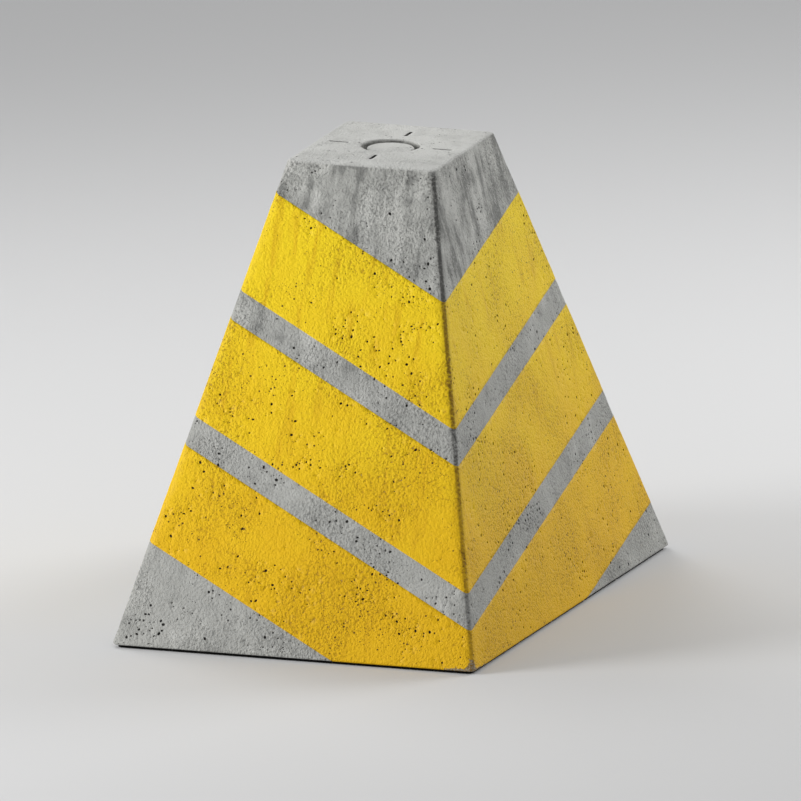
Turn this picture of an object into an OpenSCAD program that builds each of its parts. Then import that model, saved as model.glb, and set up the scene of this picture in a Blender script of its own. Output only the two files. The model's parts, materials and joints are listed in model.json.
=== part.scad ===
// Concrete traffic barrier block: a tapered reinforced casting with three inclined yellow bands,
// a rubber pad under it and a lifting anchor in a plugged recess in its top.
// The origin is on the ground under the middle of the block. X runs across it and Y along it.

/* [Block] */
// Overall height, with the rubber pad
overall_h = 810; // [700:1:1000]
// Width of the base, along X
base_w = 670; // [600:1:850]
// Length of the base, along Y
base_d = 1060; // [900:1:1300]
// Width of the top, along X
top_w = 272; // [250:1:400]
// Length of the top, along Y
top_d = 326; // [270:1:500]
// Leg of the chamfer on the four sloping arrises
arris_leg = 6; // [3:0.5:15]
// Leg of the chamfer around the top and the base
edge_leg = 5; // [3:0.5:12]

/* [Bands] */
// Height at which the upper band ends, on the block's centre line
bands_top = 726; // [600:1:760]
// Height of one band, on the centre line
band_h = 165; // [80:1:170]
// Bare concrete between two bands, on the centre line
band_gap = 48; // [20:1:60]
// Fall of the bands for each unit of width
band_fall = 0.43; // [0:0.01:0.6]
// Rise of the bands for each unit of length
band_rise = 0.185; // [0:0.005:0.4]
// Thickness of the marking film
film_t = 0.6; // [0.4:0.1:2]

/* [Rubber pad] */
// Thickness of the pad
pad_t = 5; // [3:0.5:12]
// Distance of the pad's edge from the edge of the block
pad_inset = 8; // [2:1:30]
// Corner radius of the pad
pad_corner = 12; // [5:1:40]
// Width of a drain groove under the pad
groove_w = 10; // [6:1:20]
// Depth of a drain groove
groove_t = 2; // [1:0.5:2.5]
// Number of drain grooves
grooves = 6; // [2:1:10]

/* [Recess and plug] */
// Diameter of the recess at the top face
recess_dia = 104; // [96:1:120]
// Depth of the ledge that the plug rests on
recess_depth = 22; // [16:1:40]
// Depth of the straight part of the socket
socket_depth = 20; // [18:1:30]
// Gap around the plug, for fingers or a lever
plug_gap = 10.5; // [8:0.5:12]
// Width of the ledge under the plug's rim
ledge_w = 4.5; // [3:0.5:8]
// Distance of the plug's top below the top face
plug_sink = 4; // [2:0.5:8]
// Depth of the plug's skirt in the socket
skirt_depth = 13; // [10:1:16]
// Play of the skirt in the socket, on the radius
skirt_play = 1; // [0.8:0.1:2]
// Play of the rubber ring in the socket, on the radius
ring_play = 0.4; // [0.3:0.1:0.6]

/* [Slots in the top] */
// Distance of a slot's inner end from the edge of the recess
slot_away = 25; // [15:1:30]
// Length of a slot
slot_l = 36; // [20:1:40]
// Width of a slot
slot_w = 6; // [4:0.5:10]
// Depth of a slot
slot_depth = 10; // [5:1:15]

/* [Lifting anchor] */
// Diameter of the anchor's round head
head_dia = 25; // [20:1:30]
// Diameter of the shank
shank_dia = 14; // [12:1:18]
// Diameter of the foot
foot_dia = 35; // [30:1:45]
// Length from the middle of the head to the underside of the foot
anchor_l = 228; // [180:1:260]

/* [Reinforcement] */
// Concrete cover of the links
cover = 40; // [30:1:50]
// Diameter of the sloping bars
bar_dia = 12; // [10:1:16]
// Diameter of the links and of the base mesh
link_dia = 8; // [6:1:10]
// Diameter of the bars that hold the anchor's foot down
tie_dia = 10; // [8:1:12]
// Radius of a link's bends, to the middle of the bar
bend_r = 20; // [16:1:30]
// Number of links
links = 6; // [6]
// Height of the lowest link above the base mesh
first_link = 13; // [8:1:40]
// Depth of the highest link below the sloping bars' upper ends
last_link = 55; // [20:1:100]
// Number of mesh bars that lie across the block
cross_bars = 7; // [5:2:9]
// Number of mesh bars that lie along the block
long_bars = 4; // [2:2:6]
// Space between bars that cross
bar_gap = 0.3; // [0.2:0.1:1]

/* [Spacers] */
// Width and length of a spacer block under the base mesh
spacer_w = 40; // [30:1:60]
// Height of a spacer block
spacer_h = 40; // [30:1:50]
// Thickness of a wheel spacer
wheel_t = 12; // [8:1:20]
// Concrete between a wheel spacer's rim and the face
wheel_inset = 1.5; // [1:0.5:4]

/* [Hidden] */
$fn = 64;
eps = 0.5;                                   // overrun of a cut past the face it opens
body_h = overall_h - pad_t;                  // height of the casting
lean_x = (base_w - top_w) / 2 / body_h;      // slope of the two long faces
lean_y = (base_d - top_d) / 2 / body_h;      // slope of the two short faces
lean_u = (lean_x + lean_y) / sqrt(2);        // slope of the chamfers on the arrises
cut_l = base_w + base_d;                     // longer than any section of the block

function half_x(z) = base_w / 2 - lean_x * (z - pad_t);   // half the width at the height z
function half_y(z) = base_d / 2 - lean_y * (z - pad_t);   // half the length at the height z
function half_u(z) = (half_x(z) + half_y(z) - arris_leg) / sqrt(2);
function level(lean) = sqrt(1 + lean * lean);             // level distance for each unit square to a face

band_pitch = band_h + band_gap;
band_steep = sqrt(1 + band_fall * band_fall + band_rise * band_rise);
band_tip_y = asin(band_rise / band_steep);   // tip of the bands about X
band_tip_x = atan(band_fall);                // tip of the bands about Y

plug_dia = recess_dia - 2 * plug_gap;
socket_dia = plug_dia - 2 * ledge_w;         // round socket under the ledge
slot_start = recess_dia / 2 + slot_away;     // a slot's inner end, from the middle
slot_end = slot_start + slot_l;              // a slot's outer end, from the middle
ledge_z = overall_h - recess_depth;          // height of the ledge
bowl_z = ledge_z - socket_depth;             // middle of the bowl and of the anchor's head
socket_r = socket_dia / 2;
skirt_r = socket_r - skirt_play;
skirt_wall = 6;                              // wall of the plug's skirt
cap_t = recess_depth - plug_sink;            // thickness of the plug above the ledge
rim_leg = 1.5;                               // chamfer on the recess and on the plug
ring_w = 3;                                  // rubber ring: its depth in the groove
ring_h = 4;                                  // rubber ring: its height
ring_z = ledge_z - skirt_depth / 2 - ring_h / 2;
foot_t = 8;                                  // thickness of the anchor's foot at its rim
foot_z = bowl_z - anchor_l;
tie_z = foot_z + 2 * foot_t + tie_dia / 2;   // height of the lower bars over the foot

cover_x = cover * level(lean_x);             // level cover on the long faces
cover_y = cover * level(lean_y);             // level cover on the short faces
bars_in = link_dia + bar_dia + bar_gap;      // the sloping bars' axes, from a link's outside
mesh_z = pad_t + spacer_h + link_dia / 2 + bar_gap;
mesh_top = mesh_z + link_dia * 1.5 + bar_gap;
bars_foot = mesh_top + link_dia;             // lower ends of the sloping bars
bars_head = bowl_z - 10;                     // upper ends of the sloping bars
link_pitch = (bars_head - last_link - mesh_top - first_link) / (links - 1);
wheel_links = [1, 3];                        // the links that carry wheel spacers

function tenth(v) = round(10 * v) / 10;      // bars are cut and bent to a tenth of a millimetre
function link_z(i) = tenth(mesh_top + first_link + i * link_pitch);
function link_half_x(i) = tenth(half_x(link_z(i)) - cover_x - link_dia / 2);
function link_half_y(i) = tenth(half_y(link_z(i)) - cover_y - link_dia / 2);
function bar_x(z) = half_x(z) - cover_x - bars_in;        // axis of a sloping bar
function bar_y(z) = half_y(z) - cover_y - bars_in;
function spread(i, n, half) = n > 1 ? half * (2 * i / (n - 1) - 1) : 0;

// Outline that tapers from half_base at the foot of the block to half_top at its top face
module tapered_outline(half_base, half_top) {
    polygon([[half_base, pad_t], [half_top, overall_h], [-half_top, overall_h], [-half_base, pad_t]]);
}

// Outline that cuts the edges of the tapered one at 45 degrees, both at its foot and at its top
module edge_outline(half_base, half_top, leg) {
    knee_z = (pad_t + overall_h - half_base + half_top) / 2;
    knee_x = half_base - leg + knee_z - pad_t;
    polygon([[half_base - leg, pad_t], [knee_x, knee_z], [half_top - leg, overall_h],
             [leg - half_top, overall_h], [-knee_x, knee_z], [leg - half_base, pad_t]]);
}

// Long bar that has the child's outline, turned about Z
module long_bar(turn) {
    rotate([90, 0, turn])
        linear_extrude(height = cut_l, center = true)
            children();
}

// The block's four faces and four chamfered arrises, with all of them moved out by grow
module faces(grow = 0) {
    grow_x = grow * level(lean_x);
    grow_y = grow * level(lean_y);
    grow_u = grow * level(lean_u);
    intersection() {
        long_bar(0)
            tapered_outline(half_x(pad_t) + grow_x, half_x(overall_h) + grow_x);
        long_bar(90)
            tapered_outline(half_y(pad_t) + grow_y, half_y(overall_h) + grow_y);
        intersection_for (turn = [-45, 45])
            long_bar(turn)
                tapered_outline(half_u(pad_t) + grow_u, half_u(overall_h) + grow_u);
    }
}

// The block's outer shape
module block() {
    intersection() {
        faces();
        long_bar(0)
            edge_outline(half_x(pad_t), half_x(overall_h), edge_leg);
        long_bar(90)
            edge_outline(half_y(pad_t), half_y(overall_h), edge_leg);
        intersection_for (turn = [-45, 45])
            long_bar(turn)
                edge_outline(half_u(pad_t), half_u(overall_h), edge_leg * sqrt(2));
    }
}

// The space between the two inclined planes of band i, counted from the top
module band_space(i) {
    foot = bands_top - i * band_pitch - band_h;
    translate([0, 0, foot])
        rotate([band_tip_y, band_tip_x, 0])
            translate([-cut_l / 2, -cut_l / 2, 0])
                cube([cut_l, cut_l, band_h / band_steep]);
}

// Marking film of band i, which lies on the four faces and on the arrises
module band(i) {
    color("gold")
        intersection() {
            difference() {
                faces(film_t);
                faces();
            }
            band_space(i);
            translate([-cut_l / 2, -cut_l / 2, pad_t + edge_leg])
                cube([cut_l, cut_l, body_h - 2 * edge_leg]);
        }
}

// Straight bar along X or Y, centred on the origin
module level_bar(dia, half, along) {
    rotate(along == "y" ? [90, 0, 0] : [0, 90, 0])
        cylinder(d = dia, h = 2 * half, center = true);
}

// Bar from point a to point b
module bar_between(a, b, dia) {
    way = b - a;
    translate(a)
        rotate([0, acos(way[2] / norm(way)), atan2(way[1], way[0])])
            cylinder(d = dia, h = norm(way));
}

// Recess, socket and bowl over the lifting anchor
module recess_space() {
    recess_r = recess_dia / 2;
    rotate_extrude()
        polygon([[0, bowl_z], [socket_r, bowl_z], [socket_r, ledge_z], [recess_r, ledge_z],
                 [recess_r, overall_h - rim_leg], [recess_r + rim_leg, overall_h],
                 [recess_r + rim_leg, overall_h + eps], [0, overall_h + eps]]);
    translate([0, 0, bowl_z])
        sphere(r = socket_r);
}

// One radial slot, along X, with round ends
module slot_space() {
    translate([0, 0, overall_h - slot_depth]) {
        for (x = [slot_start + slot_w / 2, slot_end - slot_w / 2])
            translate([x, 0, 0])
                cylinder(d = slot_w, h = slot_depth + eps);
        translate([slot_start + slot_w / 2, -slot_w / 2, 0])
            cube([slot_end - slot_start - slot_w, slot_w, slot_depth + eps]);
    }
}

// Everything that the concrete is cast around
module cast_in() {
    lifting_anchor();
    anchor_bars("x");
    anchor_bars("y");
    for (side = [-1, 1]) {
        corner_bar(side, -1);
        corner_bar(side, 1);
        face_bar(side, 0);
        face_bar(0, side);
    }
    for (i = [0:links - 1])
        link(i);
    mesh_bars_across();
    mesh_bars_along();
    base_spacers();
    wheel_spacers();
}

module concrete_body() {
    color([0.62, 0.62, 0.60])
        difference() {
            block();
            recess_space();
            for (turn = [0:90:270])
                rotate([0, 0, turn])
                    slot_space();
            cast_in();
        }
}

// Rubber sheet with rounded corners and drain grooves under it
module base_pad() {
    half_w = base_w / 2 - pad_inset;
    half_l = base_d / 2 - pad_inset;
    color([0.08, 0.08, 0.08])
        difference() {
            linear_extrude(height = pad_t)
                union() {
                    square([2 * (half_w - pad_corner), 2 * half_l], center = true);
                    square([2 * half_w, 2 * (half_l - pad_corner)], center = true);
                    for (x = [-1, 1], y = [-1, 1])
                        translate([x * (half_w - pad_corner), y * (half_l - pad_corner)])
                            circle(r = pad_corner);
                }
            for (i = [0:grooves - 1])
                translate([0, spread(i, grooves, half_l * (1 - 1 / grooves)), 0])
                    cube([base_w, groove_w, 2 * groove_t], center = true);
        }
}

// Cap with a hollow skirt, which stands on the ledge
module recess_plug() {
    cap_r = plug_dia / 2;
    hollow_r = skirt_r - skirt_wall;
    top = ledge_z + cap_t;
    foot = ledge_z - skirt_depth;
    color([0.70, 0.70, 0.68])
        rotate_extrude()
            polygon([[0, ledge_z], [hollow_r, ledge_z], [hollow_r, foot], [skirt_r, foot],
                     [skirt_r, ring_z], [skirt_r - ring_w, ring_z],
                     [skirt_r - ring_w, ring_z + ring_h], [skirt_r, ring_z + ring_h],
                     [skirt_r, ledge_z], [cap_r, ledge_z], [cap_r, top - rim_leg],
                     [cap_r - rim_leg, top], [0, top]]);
}

// Rubber ring in the groove of the plug's skirt
module plug_ring() {
    outer_r = socket_r - ring_play;
    color([0.10, 0.10, 0.10])
        rotate_extrude()
            translate([skirt_r - ring_w, ring_z])
                square([outer_r - skirt_r + ring_w, ring_h]);
}

// Forged anchor: a round head in the bowl, a shank and a wide foot
module lifting_anchor() {
    color("silver") {
        translate([0, 0, bowl_z])
            sphere(d = head_dia);
        translate([0, 0, foot_z])
            cylinder(d = shank_dia, h = anchor_l);
        translate([0, 0, foot_z])
            cylinder(d = foot_dia, h = foot_t);
        translate([0, 0, foot_z + foot_t])
            cylinder(d1 = foot_dia, d2 = shank_dia, h = foot_t);
    }
}

// Two bars beside the shank, over the anchor's foot
module anchor_bars(along) {
    off = (shank_dia + tie_dia) / 2 + bar_gap;
    z = along == "x" ? tie_z : tie_z + tie_dia + bar_gap;
    half = (along == "x" ? bar_x(z) : bar_y(z)) - bar_dia / 2;
    color([0.45, 0.33, 0.25])
        for (side = [-1, 1])
            translate(along == "x" ? [0, side * off, z] : [side * off, 0, z])
                level_bar(tie_dia, half, along);
}

// Sloping bar beside the arris on the side sx of X and sy of Y
module corner_bar(sx, sy) {
    color([0.45, 0.33, 0.25])
        bar_between([sx * bar_x(bars_foot), sy * bar_y(bars_foot), bars_foot],
                    [sx * bar_x(bars_head), sy * bar_y(bars_head), bars_head], bar_dia);
}

// Sloping bar in the middle of one face; one of sx and sy is 0
module face_bar(sx, sy) {
    out = bar_dia / 2;
    color([0.45, 0.33, 0.25])
        bar_between([sx * (bar_x(bars_foot) + out), sy * (bar_y(bars_foot) + out), bars_foot],
                    [sx * (bar_x(bars_head) + out), sy * (bar_y(bars_head) + out), bars_head],
                    bar_dia);
}

// Closed link number i, counted from the base
module link(i) {
    run_x = link_half_x(i) - bend_r;
    run_y = link_half_y(i) - bend_r;
    color([0.45, 0.33, 0.25])
        translate([0, 0, link_z(i)])
            for (turn = [0:90:270]) {
                odd = turn % 180 != 0;
                out = odd ? link_half_y(i) : link_half_x(i);
                run = odd ? run_x : run_y;
                rotate([0, 0, turn]) {
                    translate([out, 0, 0])
                        level_bar(link_dia, run, "y");
                    translate([out - bend_r, run, 0])
                        rotate_extrude(angle = 90)
                            translate([bend_r, 0])
                                circle(d = link_dia);
                }
            }
}

// Mesh bars that lie across the block, on the spacer blocks
module mesh_bars_across() {
    half = half_x(mesh_z) - cover_x - link_dia;
    color([0.45, 0.33, 0.25])
        for (i = [0:cross_bars - 1])
            translate([0, spread(i, cross_bars, half_y(mesh_z) - 2.5 * cover), mesh_z])
                level_bar(link_dia, half, "x");
}

// Mesh bars that lie along the block, on the bars across
module mesh_bars_along() {
    half = half_y(mesh_z) - cover_y - link_dia;
    color([0.45, 0.33, 0.25])
        for (i = [0:long_bars - 1])
            translate([spread(i, long_bars, half_x(mesh_z) - 2.5 * cover), 0,
                       mesh_z + link_dia + bar_gap])
                level_bar(link_dia, half, "y");
}

// Spacer blocks under the middle mesh bar and under the end ones
module base_spacers() {
    color([0.66, 0.66, 0.63])
        for (i = [0:(cross_bars - 1) / 2:cross_bars - 1], side = [-1, 1])
            translate([side * base_w / 4 - spacer_w / 2,
                       spread(i, cross_bars, half_y(mesh_z) - 2.5 * cover) - spacer_w / 2, pad_t])
                cube([spacer_w, spacer_w, spacer_h]);
}

// Wheel spacer on a bar along Y, which keeps the cage off a face
module wheel_spacer(wheel_r) {
    rotate([90, 0, 0])
        difference() {
            cylinder(r = wheel_r, h = wheel_t, center = true);
            cylinder(d = link_dia, h = wheel_t + 2 * eps, center = true);
            for (turn = [45:90:315])
                rotate([0, 0, turn])
                    translate([wheel_r * 0.56, 0, 0])
                        cylinder(r = wheel_r * 0.24, h = wheel_t + 2 * eps, center = true);
        }
}

module wheel_spacers() {
    color([0.30, 0.32, 0.34])
        for (i = wheel_links, side = [-1, 1]) {
            for (end = [-1, 1])
                translate([side * link_half_x(i), end * link_half_y(i) / 2, link_z(i)])
                    wheel_spacer(cover + link_dia / 2 / level(lean_x) - wheel_inset);
            translate([link_half_x(i) / 2, side * link_half_y(i), link_z(i)])
                rotate([0, 0, 90])
                    wheel_spacer(cover + link_dia / 2 / level(lean_y) - wheel_inset);
        }
}

concrete_body();
band(0);  // upper_band
band(1);  // middle_band
band(2);  // lower_band
base_pad();
recess_plug();
plug_ring();
lifting_anchor();
anchor_bars("x");  // anchor_bars_across
anchor_bars("y");  // anchor_bars_along
corner_bar(-1, -1);  // corner_bar_front_left
corner_bar(1, -1);  // corner_bar_front_right
corner_bar(-1, 1);  // corner_bar_back_left
corner_bar(1, 1);  // corner_bar_back_right
face_bar(0, -1);  // face_bar_front
face_bar(0, 1);  // face_bar_back
face_bar(-1, 0);  // face_bar_left
face_bar(1, 0);  // face_bar_right
link(0);  // link_1
link(1);  // link_2
link(2);  // link_3
link(3);  // link_4
link(4);  // link_5
link(5);  // link_6
mesh_bars_across();
mesh_bars_along();
base_spacers();
wheel_spacers();
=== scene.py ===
"""Looks of a concrete traffic barrier block with inclined yellow bands and a plugged lifting recess.

Everything is in metres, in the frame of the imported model: +Z up, X across the block, Y along it.
"""

from __future__ import annotations

import json
import logging
import math
from dataclasses import dataclass, field
from enum import Enum
from typing import Any, Callable, Iterable, Mapping, Sequence

import bmesh
import bpy
import numpy as np
from mathutils import Matrix, Vector, noise
from mathutils.geometry import delaunay_2d_cdt

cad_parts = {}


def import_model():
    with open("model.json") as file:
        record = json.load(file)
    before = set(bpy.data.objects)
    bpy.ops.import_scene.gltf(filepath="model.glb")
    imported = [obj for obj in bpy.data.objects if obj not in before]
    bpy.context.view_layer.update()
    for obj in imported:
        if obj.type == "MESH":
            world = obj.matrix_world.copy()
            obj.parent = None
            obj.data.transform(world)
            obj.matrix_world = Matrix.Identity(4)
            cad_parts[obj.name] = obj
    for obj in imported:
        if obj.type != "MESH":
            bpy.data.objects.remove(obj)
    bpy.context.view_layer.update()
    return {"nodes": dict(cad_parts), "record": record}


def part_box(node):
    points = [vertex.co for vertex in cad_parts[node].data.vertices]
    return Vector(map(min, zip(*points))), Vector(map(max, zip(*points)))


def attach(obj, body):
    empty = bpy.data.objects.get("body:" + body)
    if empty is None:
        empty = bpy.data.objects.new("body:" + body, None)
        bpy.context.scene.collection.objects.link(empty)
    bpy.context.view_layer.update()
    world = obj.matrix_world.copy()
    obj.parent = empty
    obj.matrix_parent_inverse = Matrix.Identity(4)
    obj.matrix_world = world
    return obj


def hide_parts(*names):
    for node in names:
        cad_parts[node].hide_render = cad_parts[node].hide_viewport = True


LOG = logging.getLogger("barrier")
MM = 0.001
TOUCHING = 2e-6
Point = tuple[float, float, float]


# ---------------------------------------------------------------------------------------------
# Shader expressions
# ---------------------------------------------------------------------------------------------


class Term:
    """A shader socket that takes part in Python expressions on numbers."""

    def __init__(self, graph: "Graph", socket: bpy.types.NodeSocket) -> None:
        """Wraps one output socket.

        Args:
            graph: The graph that the socket belongs to.
            socket: The output socket that gives the value.
        """
        self.graph = graph
        self.socket = socket

    def _math(self, operation: str, first: Any, second: Any, clamp: bool = False) -> "Term":
        """Adds one Math node.

        Args:
            operation: The Math node's operation.
            first: The first operand, a Term or a number.
            second: The second operand, a Term or a number.
            clamp: Whether the result is held between 0 and 1.

        Returns:
            The result as a Term.
        """
        settings = {"operation": operation, "use_clamp": clamp}
        return self.graph.node("ShaderNodeMath", settings, {0: first, 1: second})

    def __add__(self, other: Any) -> "Term":
        """Returns self + other."""
        return self._math("ADD", self, other)

    __radd__ = __add__

    def __sub__(self, other: Any) -> "Term":
        """Returns self - other."""
        return self._math("SUBTRACT", self, other)

    def __rsub__(self, other: Any) -> "Term":
        """Returns other - self."""
        return self._math("SUBTRACT", other, self)

    def __mul__(self, other: Any) -> "Term":
        """Returns self * other."""
        return self._math("MULTIPLY", self, other)

    __rmul__ = __mul__

    def larger(self, other: Any) -> "Term":
        """Returns the larger of self and other."""
        return self._math("MAXIMUM", self, other)

    def smaller(self, other: Any) -> "Term":
        """Returns the smaller of self and other."""
        return self._math("MINIMUM", self, other)

    def held(self) -> "Term":
        """Returns self held between 0 and 1."""
        return self._math("ADD", self, 0.0, clamp=True)

    def ramp(self, low: float, high: float) -> "Term":
        """Rises smoothly from 0 at low to 1 at high, or falls if low is above high.

        Args:
            low: The value that gives 0.
            high: The value that gives 1.

        Returns:
            The smooth step as a Term.
        """
        step = ((self - low) * (1.0 / (high - low))).held()
        return step * step * (3.0 - 2.0 * step)


class Graph:
    """The node tree of one material, with a Principled shader at its end."""

    def __init__(self, name: str) -> None:
        """Makes an empty material.

        Args:
            name: The material's name.
        """
        self.material = bpy.data.materials.new(name)
        self.material.use_nodes = True
        self.tree = self.material.node_tree
        self.tree.nodes.clear()
        self.shader = self.tree.nodes.new("ShaderNodeBsdfPrincipled")
        output = self.tree.nodes.new("ShaderNodeOutputMaterial")
        self.tree.links.new(self.shader.outputs["BSDF"], output.inputs["Surface"])
        self.place = self.node("ShaderNodeTexCoord", output="Object")

    def node(
        self,
        kind: str,
        settings: Mapping[str, Any] | None = None,
        sockets: Mapping[Any, Any] | None = None,
        output: Any = 0,
    ) -> Term:
        """Adds a node, sets it and fills its sockets.

        Args:
            kind: The node's type.
            settings: The node's properties, which are set first.
            sockets: Values, colours or Terms for its input sockets, by name or number.
            output: The output socket that is wanted, by name or number.

        Returns:
            The wanted output as a Term.
        """
        made = self.tree.nodes.new(kind)
        for name, value in (settings or {}).items():
            setattr(made, name, value)
        for name, value in (sockets or {}).items():
            self.fill(made.inputs[name], value)
        return Term(self, made.outputs[output])

    def fill(self, socket: bpy.types.NodeSocket, value: Any) -> None:
        """Links a Term to an input socket, or sets its value.

        Args:
            socket: The input socket.
            value: A Term, a number, or a colour or vector.
        """
        if isinstance(value, Term):
            self.tree.links.new(value.socket, socket)
        elif hasattr(value, "__len__") and len(value) == 3 and socket.type == "RGBA":
            socket.default_value = (*value, 1.0)
        else:
            socket.default_value = value

    def finish(self, **inputs: Any) -> bpy.types.Material:
        """Fills the Principled shader's sockets.

        Args:
            **inputs: Socket values; underscores in the names stand for spaces.

        Returns:
            The finished material.
        """
        for name, value in inputs.items():
            self.fill(self.shader.inputs[name.replace("_", " ")], value)
        return self.material

    def noise(self, scale: float, detail: float = 3.0, rough: float = 0.5, at: Term | None = None) -> Term:
        """Noise between 0 and 1.

        Args:
            scale: Waves for each metre.
            detail: The number of finer layers.
            rough: The weight of the finer layers.
            at: Where it is read; the object's coordinates if left out.

        Returns:
            The noise as a Term.
        """
        sockets = {"Vector": at or self.place, "Scale": scale, "Detail": detail, "Roughness": rough}
        return self.node("ShaderNodeTexNoise", {"noise_dimensions": "3D"}, sockets, "Fac")

    def attribute(self, name: str) -> Term:
        """Returns a number that the mesh holds for each of its points."""
        settings = {"attribute_type": "GEOMETRY", "attribute_name": name}
        return self.node("ShaderNodeAttribute", settings, output="Fac")

    def mix(self, share: Any, first: Any, second: Any) -> Term:
        """Mixes two colours.

        Args:
            share: The second colour's share, a Term or a number.
            first: A colour or a Term.
            second: A colour or a Term.

        Returns:
            The colour as a Term.
        """
        settings = {"data_type": "RGBA", "blend_type": "MIX", "clamp_factor": True}
        return self.node("ShaderNodeMix", settings, {0: share, 6: first, 7: second}, 2)

    def bump(self, height_mm: Term, strength: float = 1.0) -> Term:
        """Normal of a surface that is raised by height_mm.

        Args:
            height_mm: The height in millimetres.
            strength: The bump's strength.

        Returns:
            The normal as a Term.
        """
        return self.node(
            "ShaderNodeBump", None, {"Strength": strength, "Distance": MM, "Height": height_mm}
        )

    def holes(self, cells: float, share: Term, widening: float) -> Term:
        """Small round holes, one in some of the cells of an irregular grid.

        Args:
            cells: Cells for each metre.
            share: The share of the cells that hold a hole.
            widening: How fast a cell's hole grows with the cell's lot, in cells.

        Returns:
            1 in a hole and 0 outside it, as a Term.
        """
        sockets = {"Vector": self.place, "Scale": cells, "Randomness": 1.0}
        distance = self.node("ShaderNodeTexVoronoi", None, sockets, "Distance")
        draw = Term(self, distance.socket.node.outputs["Color"])
        lot = self.node("ShaderNodeSeparateColor", None, {0: draw}, 0)
        radius = ((lot + share - 1.0) * widening).smaller(0.30)
        return ((radius - distance) * 12.0).held()


# ---------------------------------------------------------------------------------------------
# Finishes
# ---------------------------------------------------------------------------------------------


@dataclass(frozen=True)
class CastTexture:
    """The relief and the small air holes that a cast surface and its paint share.

    Attributes:
        grain_mm: Height of the sand grain.
        lump_mm: Height of the small lumps and hollows.
        swell_mm: Height of the wider swells.
        streak_mm: Height of the upright streaks.
        hole_mm: Depth of the small air holes.
        grain_waves: Waves of the sand grain for each metre.
        lump_waves: Waves of the lumps for each metre.
        swell_waves: Waves of the swells for each metre.
        streak_waves: Waves of the streaks for each metre, across and down.
        patch_waves: Waves of the rough patches for each metre.
        crowd_waves: Waves of the air holes' crowding for each metre.
        fine_cells: Cells for each metre that may hold one of the finest holes.
        wide_cells: Cells for each metre that may hold one of the wider holes.
    """

    grain_mm: float = 1.5
    lump_mm: float = 4.8
    swell_mm: float = 1.8
    streak_mm: float = 0.5
    hole_mm: float = 1.6
    grain_waves: float = 340.0
    lump_waves: float = 205.0
    swell_waves: float = 60.0
    streak_waves: tuple[float, float] = (42.0, 6.5)
    patch_waves: float = 6.5
    crowd_waves: float = 11.0
    fine_cells: float = 330.0
    wide_cells: float = 150.0

    def streaks(self, graph: Graph) -> Term:
        """Returns the upright streaks that run down the mould's faces, between 0 and 1."""
        across, down = self.streak_waves
        sockets = {0: graph.attribute("across") * across, 1: graph.attribute("down") * down}
        return graph.noise(1.0, 3.0, 0.6, graph.node("ShaderNodeCombineXYZ", None, sockets))

    def small_holes(self, graph: Graph) -> Term:
        """Returns the mask of the air holes that are too small for the mesh."""
        crowd = graph.noise(self.crowd_waves, 2.0).ramp(0.42, 0.66)
        fine = graph.holes(self.fine_cells, 0.06 + 0.26 * crowd, 1.6)
        wide = graph.holes(self.wide_cells, 0.04 + 0.22 * crowd, 1.9)
        return fine.larger(wide)

    def lumps(self, graph: Graph) -> Term:
        """Returns the mould's small lumps and hollows, which are deeper in rough patches, about 0."""
        patch = graph.noise(self.patch_waves, 2.0).ramp(0.38, 0.62)
        return (graph.noise(self.lump_waves, 2.0, 0.6) - 0.5) * (0.62 + 0.80 * patch)

    def height(self, graph: Graph, lumps: Term, holes: Term, streaks: Term) -> Term:
        """Height of the surface in millimetres.

        Args:
            graph: The material's graph.
            lumps: The small lumps and hollows.
            holes: The mask of the small air holes.
            streaks: The upright streaks.

        Returns:
            The height as a Term.
        """
        grain = graph.noise(self.grain_waves, 1.0, 0.5) * self.grain_mm
        swells = graph.noise(self.swell_waves, 1.0, 0.5) * self.swell_mm
        return grain + lumps * self.lump_mm + swells + streaks * self.streak_mm - holes * self.hole_mm


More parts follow.
